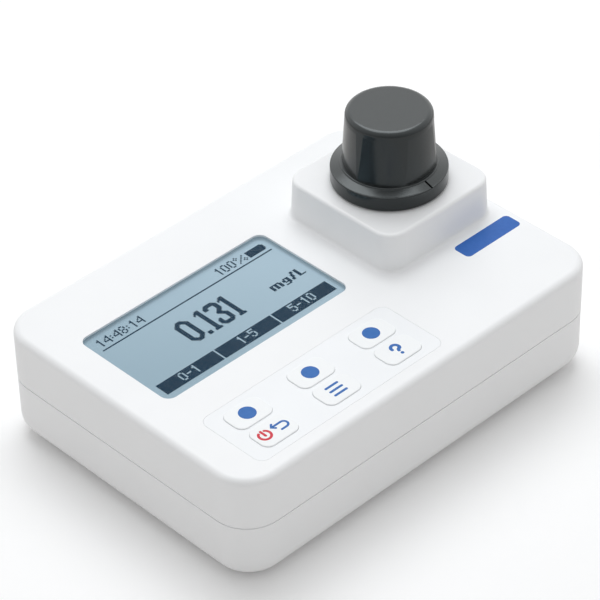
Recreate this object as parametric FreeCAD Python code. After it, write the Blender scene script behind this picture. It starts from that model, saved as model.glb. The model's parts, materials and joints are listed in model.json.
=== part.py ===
"""Portable photometer, in millimetres.

The origin lies on the bench under the middle of the case, +X runs along the case's
long side to the cuvette holder, +Y to the back and +Z up. The feet stand on z = 0.
"""
import FreeCAD, Part
import math
import os
from FreeCAD import Vector

os.makedirs("parts", exist_ok=True)

# Case. PAST is how far a cut runs beyond a face, INTO how far joined solids overlap.
CASE_LENGTH = 142.5
CASE_WIDTH = 102.5
CASE_CORNER = 11.6
FOOT_HEIGHT = 1.5
LOWER_HEIGHT = 19.15
UPPER_HEIGHT = 17.25
WALL = 3.0
TOP_EDGE = 2.2
BOTTOM_EDGE = 6.0
FIT = 0.15
PAST = 1.0
INTO = 0.5

# Shadow gap, tongue and seal between the two halves of the case
SHADOW_GAP = 0.4
SHADOW_DEPTH = 0.3
TONGUE_GAP = 0.2
TONGUE_WALL = 1.6
TONGUE_DEPTH = 2.4
SEAL_INSET = 0.8
SEAL_WIDTH = 1.2
SEAL_DEPTH = 1.3
SEAT_GAP = 0.05

# Turret over the cuvette holder, placed from the right end and the back
TURRET_FROM_END = 26.25
TURRET_FROM_BACK = 42.65
TURRET_SPARE = 1.7
TURRET_CORNER = 6.5
TURRET_HEIGHT = 12.6
TURRET_DRAFT = 2.0
TURRET_EDGE = 1.1
TURRET_ROOT = 1.0

# Display window, placed from the left end and the back, and the display under it
WINDOW_FROM_END = 11.35
WINDOW_FROM_BACK = 22.5
WINDOW_LENGTH = 70.9
WINDOW_WIDTH = 37.6
WINDOW_CORNER = 3.0
WINDOW_LIP = 0.7
WINDOW_GAP = 0.15
LENS_THICK = 0.8
LENS_MARGIN = 2.0
LENS_CORNER = 1.0
LENS_SUNK = 0.3
LCD_GAP = 0.1
LCD_THICK = 1.8
LCD_MARGIN = 1.6
BACKLIGHT_THICK = 2.2
FRAME_WALL = 1.8
FRAME_STEP = 1.2
STRIP_THICK = 2.5
STRIP_LENGTH = 56.0

# Keypad, placed from the left end and the front
PANEL_FROM_END = 11.55
PANEL_FROM_FRONT = 5.55
PANEL_LENGTH = 71.4
PANEL_WIDTH = 24.7
PANEL_CORNER = 3.0
PANEL_THICK = 0.6
PANEL_GAP = 0.06
KEY_PITCH_X = 24.1
KEY_PITCH_Y = 10.2
KEY_LENGTH = 13.2
KEY_BRIDGE = 1.2
KEY_CORNER = 2.8
KEY_PROUD = 0.35
KEY_EDGE = 0.3
KEY_SINK = 0.7
KEY_GAP = 0.06
KEY_TRAVEL = 0.3
KEY_SPARE = 0.05
POCKET_SPARE = 0.15
STEM_RADIUS = 1.8
STEM_GAP = 0.2
DOME_RADIUS = 4.0
DOME_TOP_RADIUS = 2.4
DOME_HEIGHT = 0.9
SHEET_THICK = 0.25
KEY_BOARD_MARGIN = 1.0
KEY_BOARD_DROP = 2.5
BOARD_THICK = 1.6
STAKE_RADIUS = 2.1
STAKE_PIN = 1.1
PIN_END = 0.4

# Screws, bosses and feet, placed from the case's ends and sides
BOSS_INSET = 10.75
BOSS_RADIUS = 3.6
FOOT_BOSS_RADIUS = 5.2
SCREW_RADIUS = 1.5
SCREW_HOLE = 1.7
HEAD_RADIUS = 2.8
HEAD_THICK = 2.0
HEAD_EDGE = 0.6
HEAD_HOLE = 3.1
HEAD_DEPTH = 8.0
SCREW_REACH = 10.4
RECESS_ARM = 3.2
RECESS_WIDTH = 0.7
RECESS_DEPTH = 1.1
FOOT_FROM_END = 18.9
FOOT_FROM_SIDE = 12.25
FOOT_RADIUS = 4.2
FOOT_SUNK = 1.0
FOOT_EDGE = 0.5

# Battery bay, placed from the left end, with its cover, tray and cells
BAY_FROM_END = 46.85
BAY_MARGIN = 1.4
BAY_WALL = 3.0
BAY_ROOF = 1.5
BAY_SPARE = 0.2
COVER_LIP = 2.0
COVER_FLANGE_THICK = 2.0
COVER_PLUG = 3.5
COVER_GAP = 0.15
COVER_SHELL = 1.8
COVER_FLOOR = 0.6
COVER_EDGE = 0.5
RING_SECTION = 1.8
RING_GAP = 0.1
GRIP_RADIUS = 22.0
GRIP_DEPTH = 1.2
GRIP_BAR = 6.0
CELL_RADIUS = 7.25
CELL_LENGTH = 50.5
CELL_RIM = 0.7
CELL_NUB_RADIUS = 2.75
CELL_NUB_LENGTH = 1.5
CELL_PITCH = 15.4
CELL_GAP = 0.2
CELL_LIFT = 0.35
CONTACT_SPACE = 3.05
TRAY_END = 1.2
TRAY_ROOF = 1.35
TRAY_RIB = 5.25
PLATE_THICK = 0.5
PLATE_WIDTH = 9.0
BUTTON_RADIUS = 2.2
LEAF_THICK = 0.4
LEAF_WIDTH = 5.0

# Main board and what stands on it
BOARD_FROM_END = 13.25
BOARD_FROM_WELL = 4.0
BOARD_WIDTH = 71.0
STANDOFF_RADIUS = 3.2
STANDOFF_HEIGHT = 1.9
STANDOFF_PITCH = 50.0
CHIP_SIDE = 9.2
CHIP_THICK = 1.4
SOUNDER_RADIUS = 2.5
SOUNDER_HEIGHT = 1.9
SOUNDER_HOLE = 0.6
PARTS_APART = 2.0
FRAME_CLEAR = 0.6
PLUG_LENGTH = 14.0
PLUG_WIDTH = 2.6

# Cuvette, its stopper and its cap
CUVETTE_RADIUS = 12.3
CUVETTE_WALL = 1.3
CUVETTE_FLOOR = 1.6
CUVETTE_HEIGHT = 64.5
CUVETTE_EDGE = 1.2
NECK_HEIGHT = 13.0
SHOULDER_RISE = 2.6
NECK_STEP = 1.7
NECK_WALL = 1.6
STOPPER_DEPTH = 5.0
STOPPER_GAP = 0.08
STOPPER_FLANGE = 1.2
STOPPER_WALL = 1.3
LINER_THICK = 1.2
CAP_CROWN = 1.5
CAP_SKIRT_STEP = 3.3
CAP_SKIRT_BAND = 4.7
CAP_SKIRT_WALL = 1.7
CAP_SKIRT_EDGE = 0.4
CAP_CONE_RISE = 0.9
CAP_WALL = 1.65
CAP_TAPER = 1.2
CAP_EDGE = 1.8
CAP_BORE_GAP = 0.25
CAP_FLUTES = 6
CAP_FLUTE_DEPTH = 0.5
CAP_FLUTE_BOW = 19.5
CAP_FLUTE_TURN = 3.0
CAP_FLUTE_DROP = 2.8
CAP_NOTCH_WIDTH = 0.7
CAP_NOTCH_DEPTH = 0.25

# Cuvette well and the light path through it
WELL_GAP = 0.2
WELL_WALL = 2.5
WELL_FLOOR = 2.0
WELL_FLANGE_STEP = 0.5
WELL_FLANGE_THICK = 1.5
LIGHT_RING_PROUD = 0.3
LIGHT_RING_THICK = 1.5
LIGHT_RING_INSET = 0.6
BEAM_HEIGHT = 14.5
BEAM_RADIUS = 3.0
BLOCK_WIDTH = 14.0
BLOCK_OVER_BEAM = 7.0
EMITTER_LENGTH = 27.0
DETECTOR_LENGTH = 9.0
LID_THICK = 1.5
LAMP_RADIUS = 2.5
LAMP_LENGTH = 8.6
FOCUS_RADIUS = 5.0
FOCUS_EDGE = 1.4
FOCUS_BULGE = 0.9
FOCUS_FROM_BOARD = 11.6
SPLITTER_FROM_BOARD = 19.3
SPLITTER_SIDE = 9.0
SPLITTER_THICK = 1.1
FILTER_RADIUS = 6.25
FILTER_THICK = 3.0
FILTER_FROM_WELL = 1.6
DIODE_RADIUS = 4.1
DIODE_LENGTH = 3.2
SLOT_GAP = 0.1
LIGHT_BOARD_MARGIN = 1.0

# Sizes that follow from the cells, the cuvette and the keys' pitch
KEY_WIDTH = KEY_PITCH_Y - KEY_BRIDGE
TRAY_LENGTH = CELL_LENGTH + 2 * (CONTACT_SPACE + TRAY_END)
BAY_RADIUS = math.hypot(TRAY_LENGTH / 2, CELL_PITCH + PLATE_WIDTH / 2) + BAY_MARGIN
COVER_FLANGE = BAY_RADIUS + COVER_LIP
NECK_RADIUS = CUVETTE_RADIUS - NECK_STEP
MOUTH_RADIUS = NECK_RADIUS - NECK_WALL
CAP_BARREL_FOOT = CUVETTE_RADIUS + CAP_BORE_GAP + CAP_WALL
CAP_BARREL_TOP = CAP_BARREL_FOOT - CAP_TAPER
CAP_SKIRT_RADIUS = CAP_BARREL_FOOT + CAP_SKIRT_STEP
LIGHT_RING_RADIUS = CAP_SKIRT_RADIUS - LIGHT_RING_INSET
WELL_FLANGE_RADIUS = LIGHT_RING_RADIUS + WELL_FLANGE_STEP
WELL_RADIUS = CUVETTE_RADIUS + WELL_GAP
WELL_OUTER = WELL_RADIUS + WELL_WALL
TURRET_SIDE = 2 * (WELL_FLANGE_RADIUS + WALL + TURRET_SPARE)

# Heights that follow, from the bench up
CASE_FLOOR = FOOT_HEIGHT + WALL
PARTING_Z = FOOT_HEIGHT + LOWER_HEIGHT
CASE_TOP = PARTING_Z + UPPER_HEIGHT
BELOW_TOP = CASE_TOP - WALL
TURRET_TOP = CASE_TOP + TURRET_HEIGHT
TURRET_CEILING = TURRET_TOP - WALL
HEAD_SEAT_Z = FOOT_HEIGHT + HEAD_DEPTH
SCREW_END_Z = PARTING_Z + SCREW_REACH
COVER_STEP_Z = FOOT_HEIGHT + COVER_FLANGE_THICK
COVER_TOP_Z = COVER_STEP_Z + COVER_PLUG
CELL_Z = COVER_TOP_Z + CELL_LIFT + CELL_RADIUS
TRAY_TOP = CELL_Z + CELL_RADIUS + CELL_GAP + TRAY_ROOF
BAY_CEILING = TRAY_TOP + BAY_SPARE
MAIN_BOARD_Z = BAY_CEILING + BAY_ROOF + STANDOFF_HEIGHT
MAIN_BOARD_TOP = MAIN_BOARD_Z + BOARD_THICK
LENS_TOP = CASE_TOP - WINDOW_LIP
LENS_BOTTOM = LENS_TOP - LENS_THICK
LCD_TOP = LENS_BOTTOM - LCD_GAP
LCD_BOTTOM = LCD_TOP - LCD_THICK
BACKLIGHT_BOTTOM = LCD_BOTTOM - BACKLIGHT_THICK
KEY_UNDERSIDE = CASE_TOP - KEY_SINK
POCKET_Z = KEY_UNDERSIDE - KEY_TRAVEL - POCKET_SPARE
KEY_BOARD_TOP = BELOW_TOP - KEY_BOARD_DROP
DOME_TOP_Z = KEY_BOARD_TOP + SHEET_THICK + DOME_HEIGHT
RING_TOP = TURRET_TOP + LIGHT_RING_PROUD
RING_BOTTOM = RING_TOP - LIGHT_RING_THICK
CUVETTE_FOOT_Z = CASE_FLOOR + WELL_FLOOR
NECK_TOP_Z = CUVETTE_FOOT_Z + CUVETTE_HEIGHT
NECK_FOOT_Z = NECK_TOP_Z - NECK_HEIGHT
SHOULDER_Z = NECK_FOOT_Z - SHOULDER_RISE
STOPPER_TOP = NECK_TOP_Z + STOPPER_FLANGE
LINER_TOP = STOPPER_TOP + LINER_THICK
CAP_TOP_Z = LINER_TOP + CAP_CROWN
BEAM_Z = CASE_FLOOR + BEAM_HEIGHT
BLOCK_TOP = BEAM_Z + BLOCK_OVER_BEAM

# Places that follow, in plan
TURRET_X = CASE_LENGTH / 2 - TURRET_FROM_END
TURRET_Y = CASE_WIDTH / 2 - TURRET_FROM_BACK
WINDOW_X = WINDOW_FROM_END + WINDOW_LENGTH / 2 - CASE_LENGTH / 2
WINDOW_Y = CASE_WIDTH / 2 - WINDOW_FROM_BACK - WINDOW_WIDTH / 2
PANEL_X = PANEL_FROM_END + PANEL_LENGTH / 2 - CASE_LENGTH / 2
PANEL_Y = PANEL_FROM_FRONT + PANEL_WIDTH / 2 - CASE_WIDTH / 2
BAY_X = BAY_FROM_END - CASE_LENGTH / 2
BOARD_LEFT = BOARD_FROM_END - CASE_LENGTH / 2
BOARD_RIGHT = TURRET_X - WELL_OUTER - BOARD_FROM_WELL
FRAME_REACH = LCD_MARGIN + FIT + FRAME_WALL
FRAME_FRONT = WINDOW_Y - WINDOW_WIDTH / 2 - FRAME_REACH
CHIP_LEFT = PANEL_X + PLUG_LENGTH / 2 + PARTS_APART
SOUNDER_X = CHIP_LEFT + CHIP_SIDE + PARTS_APART + SOUNDER_RADIUS
BOSS_X = CASE_LENGTH / 2 - BOSS_INSET
BOSS_Y = CASE_WIDTH / 2 - BOSS_INSET
FOOT_X = CASE_LENGTH / 2 - FOOT_FROM_END
FOOT_Y = CASE_WIDTH / 2 - FOOT_FROM_SIDE
EMITTER_END = TURRET_Y - WELL_OUTER - FIT
EMITTER_START = EMITTER_END - EMITTER_LENGTH
DETECTOR_START = TURRET_Y + WELL_OUTER + FIT
DETECTOR_END = DETECTOR_START + DETECTOR_LENGTH

KEYS = (
    ("key_left", -1, 0),
    ("key_middle", 0, 0),
    ("key_right", 1, 0),
    ("key_power", -1, 1),
    ("key_menu", 0, 1),
    ("key_help", 1, 1),
)
CORNERS = ((-1, -1, "front_left"), (1, -1, "front_right"), (1, 1, "back_right"), (-1, 1, "back_left"))


def save(name, shape):
    """Writes one named piece."""
    shape.exportStep("parts/" + name + ".step")


def box(x0, x1, y0, y1, z0, z1):
    """Plain block between two corners."""
    return Part.makeBox(x1 - x0, y1 - y0, z1 - z0, Vector(x0, y0, z0))


def rod(x, y, z0, z1, radius):
    """Upright round bar."""
    return Part.makeCylinder(radius, z1 - z0, Vector(x, y, z0))


def rod_y(x, z, y0, y1, radius):
    """Round bar along Y."""
    return Part.makeCylinder(radius, y1 - y0, Vector(x, y0, z), Vector(0, 1, 0))


def rod_x(y, z, x0, x1, radius):
    """Round bar along X."""
    return Part.makeCylinder(radius, x1 - x0, Vector(x0, y, z), Vector(1, 0, 0))


def outline(x, y, length, width, corner, z):
    """Closed wire: a rectangle with round corners."""
    half_x = length / 2 - corner
    half_y = width / 2 - corner
    edges = []
    ends = []
    for sx, sy, turn in ((1, -1, -90), (1, 1, 0), (-1, 1, 90), (-1, -1, 180)):
        centre = Vector(x + sx * half_x, y + sy * half_y, z)
        points = []
        for angle in (turn, turn + 45, turn + 90):
            reach = Vector(corner * math.cos(math.radians(angle)), corner * math.sin(math.radians(angle)), 0)
            points.append(centre + reach)
        edges.append(Part.Arc(*points).toShape())
        ends.append((points[0], points[2]))
    for index in range(4):
        edges.append(Part.LineSegment(ends[index][1], ends[(index + 1) % 4][0]).toShape())
    return Part.Wire(Part.__sortEdges__(edges))


def slab(x, y, length, width, corner, z0, z1):
    """Upright slab with round corners in plan."""
    face = Part.Face(outline(x, y, length, width, corner, z0))
    return face.extrude(Vector(0, 0, z1 - z0))


def case_slab(inset, z0, z1):
    """Slab that follows the case's outline, moved in by an inset."""
    length = CASE_LENGTH - 2 * inset
    width = CASE_WIDTH - 2 * inset
    return slab(0, 0, length, width, CASE_CORNER - inset, z0, z1)


def case_ring(outer_inset, inner_inset, z0, z1):
    """Ring that follows the case's outline."""
    return case_slab(outer_inset, z0, z1).cut(case_slab(inner_inset, z0, z1))


def edges_at(shape, z):
    """Edges that lie flat at one height."""
    found = []
    for edge in shape.Edges:
        bounds = edge.BoundBox
        if abs(bounds.ZMin - z) < 1e-4 and abs(bounds.ZMax - z) < 1e-4:
            found.append(edge)
    return found


def turned(points, x, y):
    """Solid turned about an upright axis, from (radius, height) points and bulges.

    A point may carry a third value, the middle point of the arc that leads to it."""
    edges = []
    for index in range(len(points)):
        start = points[index - 1]
        end = points[index]
        a = Vector(start[0], 0, start[1])
        b = Vector(end[0], 0, end[1])
        if len(end) == 3:
            edges.append(Part.Arc(a, Vector(end[2][0], 0, end[2][1]), b).toShape())
        else:
            edges.append(Part.LineSegment(a, b).toShape())
    solid = Part.Face(Part.Wire(edges)).revolve(Vector(0, 0, 0), Vector(0, 0, 1), 360)
    solid.translate(Vector(x, y, 0))
    return solid


def arc_end(start, end, outward=True):
    """End point of a quarter round from start to end, with its middle point."""
    r = end[0] - start[0]
    h = end[1] - start[1]
    share = math.sin(math.radians(45))
    if outward:
        middle = (start[0] + r * share, start[1] + h * (1 - share))
    else:
        middle = (start[0] + r * (1 - share), start[1] + h * share)
    return (end[0], end[1], middle)


def key_place(column, row):
    """Middle of one key."""
    return PANEL_X + column * KEY_PITCH_X, PANEL_Y + (0.5 - row) * KEY_PITCH_Y


def turret_loft(inset, z0, z1):
    """Four-sided turret body with drafted walls and round corners."""
    wires = []
    for z in (z0, z1):
        side = TURRET_SIDE + 2 * (TURRET_TOP - z) * math.tan(math.radians(TURRET_DRAFT)) - 2 * inset
        wires.append(outline(TURRET_X, TURRET_Y, side, side, TURRET_CORNER - inset, z))
    return Part.makeLoft(wires, True, True)


def top_outside():
    """Outer form of the upper half, with the turret blended in."""
    body = case_slab(0, PARTING_Z, CASE_TOP)
    body = body.makeFillet(TOP_EDGE, edges_at(body, CASE_TOP))
    turret = turret_loft(0, CASE_TOP - WALL, TURRET_TOP)
    turret = turret.makeFillet(TURRET_EDGE, edges_at(turret, TURRET_TOP))
    body = body.fuse(turret)
    root = []
    for edge in edges_at(body, CASE_TOP):
        centre = edge.BoundBox.Center
        if math.hypot(centre.x - TURRET_X, centre.y - TURRET_Y) < TURRET_SIDE * 0.72:
            root.append(edge)
    return body.makeFillet(TURRET_ROOT, root)


def display_cuts():
    """Window opening with the rabbet that takes the lens from below."""
    opening = slab(WINDOW_X, WINDOW_Y, WINDOW_LENGTH, WINDOW_WIDTH, WINDOW_CORNER, BELOW_TOP - PAST,
                   CASE_TOP + PAST)
    length = WINDOW_LENGTH + 2 * (LENS_MARGIN + FIT)
    width = WINDOW_WIDTH + 2 * (LENS_MARGIN + FIT)
    rabbet = slab(WINDOW_X, WINDOW_Y, length, width, LENS_CORNER, BELOW_TOP - PAST, LENS_TOP)
    return opening.fuse(rabbet)


def keypad_cuts():
    """Shallow recess of the keypad panel, a pocket for each key and its stem's hole."""
    length = PANEL_LENGTH + 2 * PANEL_GAP
    width = PANEL_WIDTH + 2 * PANEL_GAP
    bottom = CASE_TOP - PANEL_THICK
    cuts = slab(PANEL_X, PANEL_Y, length, width, PANEL_CORNER + PANEL_GAP, bottom, CASE_TOP + PAST)
    for name, column, row in KEYS:
        x, y = key_place(column, row)
        pocket = key_slab(x, y, KEY_GAP, POCKET_Z, CASE_TOP + PAST)
        hole = rod(x, y, BELOW_TOP - PAST, CASE_TOP, STEM_RADIUS + STEM_GAP)
        cuts = cuts.fuse(pocket).fuse(hole)
    return cuts


def key_slab(x, y, grow, z0, z1):
    """Slab of one key's outline, let out on every side."""
    return slab(x, y, KEY_LENGTH + 2 * grow, KEY_WIDTH + 2 * grow, KEY_CORNER + grow, z0, z1)


def stake_places():
    """Stakes of the roof that carry the keypad's board, between the keys."""
    return [(PANEL_X + side * KEY_PITCH_X / 2, PANEL_Y) for side in (-1, 1)]


def make_top_shell():
    """Upper half of the case: roof, turret, openings, tongue and screw bosses."""
    body = top_outside()
    body = body.cut(case_ring(-PAST, SHADOW_DEPTH, PARTING_Z - PAST, PARTING_Z + SHADOW_GAP))
    body = body.cut(case_slab(WALL, PARTING_Z - PAST, BELOW_TOP))
    body = body.cut(turret_loft(WALL, BELOW_TOP - PAST, TURRET_CEILING))
    body = body.cut(display_cuts()).cut(keypad_cuts())
    tongue_inset = WALL + TONGUE_GAP
    tongue = case_ring(tongue_inset, tongue_inset + TONGUE_WALL, PARTING_Z - TONGUE_DEPTH, PARTING_Z)
    collar = case_ring(WALL - INTO, tongue_inset + TONGUE_WALL, PARTING_Z, PARTING_Z + TONGUE_DEPTH)
    body = body.fuse(collar).fuse(tongue)
    for sx, sy, name in CORNERS:
        boss = rod(sx * BOSS_X, sy * BOSS_Y, PARTING_Z, BELOW_TOP + INTO, BOSS_RADIUS)
        pilot = rod(sx * BOSS_X, sy * BOSS_Y, PARTING_Z - PAST, SCREW_END_Z + PAST, SCREW_RADIUS + SEAT_GAP)
        body = body.fuse(boss).cut(pilot)
    for x, y in stake_places():
        stake = rod(x, y, KEY_BOARD_TOP + SHEET_THICK, BELOW_TOP + INTO, STAKE_RADIUS)
        pin = rod(x, y, KEY_BOARD_TOP - BOARD_THICK - PIN_END, BELOW_TOP, STAKE_PIN)
        body = body.fuse(stake).fuse(pin)
    hole = rod(TURRET_X, TURRET_Y, TURRET_CEILING - PAST, TURRET_TOP + PAST, WELL_RADIUS + FIT)
    seat = rod(TURRET_X, TURRET_Y, RING_BOTTOM, TURRET_TOP + PAST, LIGHT_RING_RADIUS)
    return body.cut(hole).cut(seat)


def bottom_outside():
    """Outer form of the lower half, with its rounded lower edge."""
    body = case_slab(0, FOOT_HEIGHT, PARTING_Z)
    return body.makeFillet(BOTTOM_EDGE, edges_at(body, FOOT_HEIGHT))


def bottom_hollow():
    """Hollow of the lower half, an even wall inside the outer form."""
    body = case_slab(WALL, CASE_FLOOR, PARTING_Z + PAST)
    return body.makeFillet(BOTTOM_EDGE - WALL, edges_at(body, CASE_FLOOR))


def make_bottom_shell():
    """Lower half of the case, with the round battery bay and the screw bosses."""
    body = bottom_outside().cut(bottom_hollow())
    groove = case_ring(SEAL_INSET, SEAL_INSET + SEAL_WIDTH, PARTING_Z - SEAL_DEPTH, PARTING_Z + PAST)
    body = body.cut(groove)
    bay_outer = BAY_RADIUS + BAY_WALL
    body = body.fuse(rod(BAY_X, 0, CASE_FLOOR - INTO, BAY_CEILING + BAY_ROOF, bay_outer))
    for sx in (-1, 1):
        for sy in (-1, 1):
            x, y = standoff_place(sx, sy)
            body = body.fuse(rod(x, y, BAY_CEILING, MAIN_BOARD_Z, STANDOFF_RADIUS))
            body = body.fuse(rod(x, y, MAIN_BOARD_Z - INTO, MAIN_BOARD_TOP + PIN_END, STAKE_PIN))
    body = body.cut(rod(BAY_X, 0, FOOT_HEIGHT - PAST, BAY_CEILING, BAY_RADIUS))
    body = body.cut(rod(BAY_X, 0, FOOT_HEIGHT - PAST, COVER_STEP_Z, COVER_FLANGE + COVER_GAP))
    for sx, sy, name in CORNERS:
        x = sx * BOSS_X
        y = sy * BOSS_Y
        boss = rod(x, y, CASE_FLOOR - INTO, PARTING_Z, FOOT_BOSS_RADIUS)
        head = rod(x, y, FOOT_HEIGHT - PAST, HEAD_SEAT_Z, HEAD_HOLE)
        shank = rod(x, y, HEAD_SEAT_Z - PAST, PARTING_Z + PAST, SCREW_HOLE)
        body = body.fuse(boss.common(bottom_outside())).cut(head).cut(shank)
        seat_top = FOOT_HEIGHT + FOOT_SUNK
        seat = rod(sx * FOOT_X, sy * FOOT_Y, FOOT_HEIGHT - PAST, seat_top, FOOT_RADIUS + SEAT_GAP)
        body = body.cut(seat)
    return body


def standoff_place(sx, sy):
    """Place of one standoff under the main board, on the bay's roof."""
    return BAY_X + sx * STANDOFF_PITCH / 2, sy * STANDOFF_PITCH / 2


def make_case_seal():
    """Soft cord in the groove between the halves."""
    outer = SEAL_INSET + SEAT_GAP
    inner = SEAL_INSET + SEAL_WIDTH - SEAT_GAP
    return case_ring(outer, inner, PARTING_Z - SEAL_DEPTH, PARTING_Z)


def make_foot(sx, sy):
    """Round rubber foot with a bevelled edge, sunk into the case."""
    foot = rod(sx * FOOT_X, sy * FOOT_Y, 0, FOOT_HEIGHT + FOOT_SUNK, FOOT_RADIUS)
    return foot.makeChamfer(FOOT_EDGE, edges_at(foot, 0))


def make_case_screw(sx, sy):
    """Pan-headed screw that comes up from below into the upper half's boss."""
    x = sx * BOSS_X
    y = sy * BOSS_Y
    shank = rod(x, y, HEAD_SEAT_Z - INTO, SCREW_END_Z, SCREW_RADIUS)
    head = rod(x, y, HEAD_SEAT_Z - HEAD_THICK, HEAD_SEAT_Z, HEAD_RADIUS)
    z = HEAD_SEAT_Z - HEAD_THICK
    head = head.makeChamfer(HEAD_EDGE, edges_at(head, z))
    screw = head.fuse(shank)
    for length, width in ((RECESS_ARM, RECESS_WIDTH), (RECESS_WIDTH, RECESS_ARM)):
        slot = box(x - length / 2, x + length / 2, y - width / 2, y + width / 2, z - PAST, z + RECESS_DEPTH)
        screw = screw.cut(slot)
    return screw


def make_lens():
    """Clear window, fitted from below: a flange in the rabbet and a raised middle in the opening."""
    length = WINDOW_LENGTH + 2 * LENS_MARGIN
    width = WINDOW_WIDTH + 2 * LENS_MARGIN
    flange = slab(WINDOW_X, WINDOW_Y, length, width, LENS_CORNER, LENS_BOTTOM, LENS_TOP)
    length = WINDOW_LENGTH - 2 * WINDOW_GAP
    width = WINDOW_WIDTH - 2 * WINDOW_GAP
    corner = WINDOW_CORNER - WINDOW_GAP
    return flange.fuse(slab(WINDOW_X, WINDOW_Y, length, width, corner, LENS_BOTTOM, CASE_TOP - LENS_SUNK))


def lcd_slab(grow, z0, z1):
    """Block of the display's outline, let out on every side."""
    half_x = WINDOW_LENGTH / 2 + LCD_MARGIN + grow
    half_y = WINDOW_WIDTH / 2 + LCD_MARGIN + grow
    return box(WINDOW_X - half_x, WINDOW_X + half_x, WINDOW_Y - half_y, WINDOW_Y + half_y, z0, z1)


def make_lcd_frame():
    """Frame that stands on the main board and carries the backlight and the display."""
    body = lcd_slab(FIT + FRAME_WALL, MAIN_BOARD_TOP, BELOW_TOP)
    body = body.cut(lcd_slab(FIT, BACKLIGHT_BOTTOM, BELOW_TOP + PAST))
    return body.cut(lcd_slab(-FRAME_STEP, MAIN_BOARD_TOP - PAST, BELOW_TOP))


def strip_front():
    """Front side of the contact strip, just inside the frame's step."""
    return WINDOW_Y - WINDOW_WIDTH / 2 - LCD_MARGIN + FRAME_STEP + FIT


def make_backlight():
    """Light panel behind the display, cut short at the front for the contact strip."""
    panel = lcd_slab(0, BACKLIGHT_BOTTOM, LCD_BOTTOM)
    front = WINDOW_Y - WINDOW_WIDTH
    room = box(WINDOW_X - WINDOW_LENGTH, WINDOW_X + WINDOW_LENGTH, front, strip_front() + STRIP_THICK + FIT,
               MAIN_BOARD_TOP, CASE_TOP)
    return panel.cut(room)


def make_contact_strip():
    """Soft strip that joins the display's edge to the main board."""
    half = STRIP_LENGTH / 2
    return box(WINDOW_X - half, WINDOW_X + half, strip_front(), strip_front() + STRIP_THICK,
               MAIN_BOARD_TOP, LCD_BOTTOM)


def make_panel():
    """Flat keypad panel with an opening for each key."""
    bottom = CASE_TOP - PANEL_THICK
    panel = slab(PANEL_X, PANEL_Y, PANEL_LENGTH, PANEL_WIDTH, PANEL_CORNER, bottom, CASE_TOP)
    for name, column, row in KEYS:
        x, y = key_place(column, row)
        panel = panel.cut(key_slab(x, y, KEY_GAP, bottom - PAST, CASE_TOP + PAST))
    return panel


def make_key(column, row):
    """Pillow-shaped key with the stem that reaches down to its dome."""
    x, y = key_place(column, row)
    key = key_slab(x, y, 0, KEY_UNDERSIDE, CASE_TOP + KEY_PROUD)
    key = key.makeFillet(KEY_EDGE, edges_at(key, CASE_TOP + KEY_PROUD))
    return key.fuse(rod(x, y, DOME_TOP_Z + KEY_TRAVEL + KEY_SPARE, KEY_UNDERSIDE + INTO, STEM_RADIUS))


def keypad_plate(margin, z0, z1):
    """Flat plate under all the keys, with holes for the roof's stakes."""
    x0, y0 = key_place(-1, 1)
    x1, y1 = key_place(1, 0)
    half_x = KEY_LENGTH / 2 + margin
    half_y = KEY_WIDTH / 2 + margin
    plate = box(x0 - half_x, x1 + half_x, y0 - half_y, y1 + half_y, z0, z1)
    for x, y in stake_places():
        plate = plate.cut(rod(x, y, z0 - PAST, z1 + PAST, STAKE_PIN + FIT))
    return plate


def make_dome_sheet():
    """Thin sheet with a snap dome under each key."""
    sheet_top = KEY_BOARD_TOP + SHEET_THICK
    body = keypad_plate(0, KEY_BOARD_TOP, sheet_top)
    for name, column, row in KEYS:
        x, y = key_place(column, row)
        body = body.fuse(Part.makeCone(DOME_RADIUS, DOME_TOP_RADIUS, DOME_HEIGHT, Vector(x, y, sheet_top)))
    return body


def make_main_board():
    """Main circuit board over the battery bay."""
    half = BOARD_WIDTH / 2
    board = box(BOARD_LEFT, BOARD_RIGHT, -half, half, MAIN_BOARD_Z, MAIN_BOARD_TOP)
    for sx in (-1, 1):
        for sy in (-1, 1):
            x, y = standoff_place(sx, sy)
            board = board.cut(rod(x, y, MAIN_BOARD_Z - PAST, MAIN_BOARD_TOP + PAST, STAKE_PIN + FIT))
    return board


def make_chip():
    """Flat processor chip on the board's free strip in front of the display frame."""
    back = FRAME_FRONT - FRAME_CLEAR
    return box(CHIP_LEFT, CHIP_LEFT + CHIP_SIDE, back - CHIP_SIDE, back, MAIN_BOARD_TOP, MAIN_BOARD_TOP + CHIP_THICK)


def make_sounder():
    """Small flat sounder with its sound hole, beside the chip."""
    y = FRAME_FRONT - FRAME_CLEAR - SOUNDER_RADIUS
    top = MAIN_BOARD_TOP + SOUNDER_HEIGHT
    hole = rod(SOUNDER_X, y, top - SOUNDER_HOLE, top + PAST, SOUNDER_HOLE)
    return rod(SOUNDER_X, y, MAIN_BOARD_TOP, top, SOUNDER_RADIUS).cut(hole)


def make_board_plug():
    """Plug between the keypad's board and the main board."""
    half = PLUG_LENGTH / 2
    y1 = key_place(0, 0)[1] + KEY_WIDTH / 2
    return box(PANEL_X - half, PANEL_X + half, y1 - PLUG_WIDTH, y1, MAIN_BOARD_TOP, KEY_BOARD_TOP - BOARD_THICK)


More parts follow.
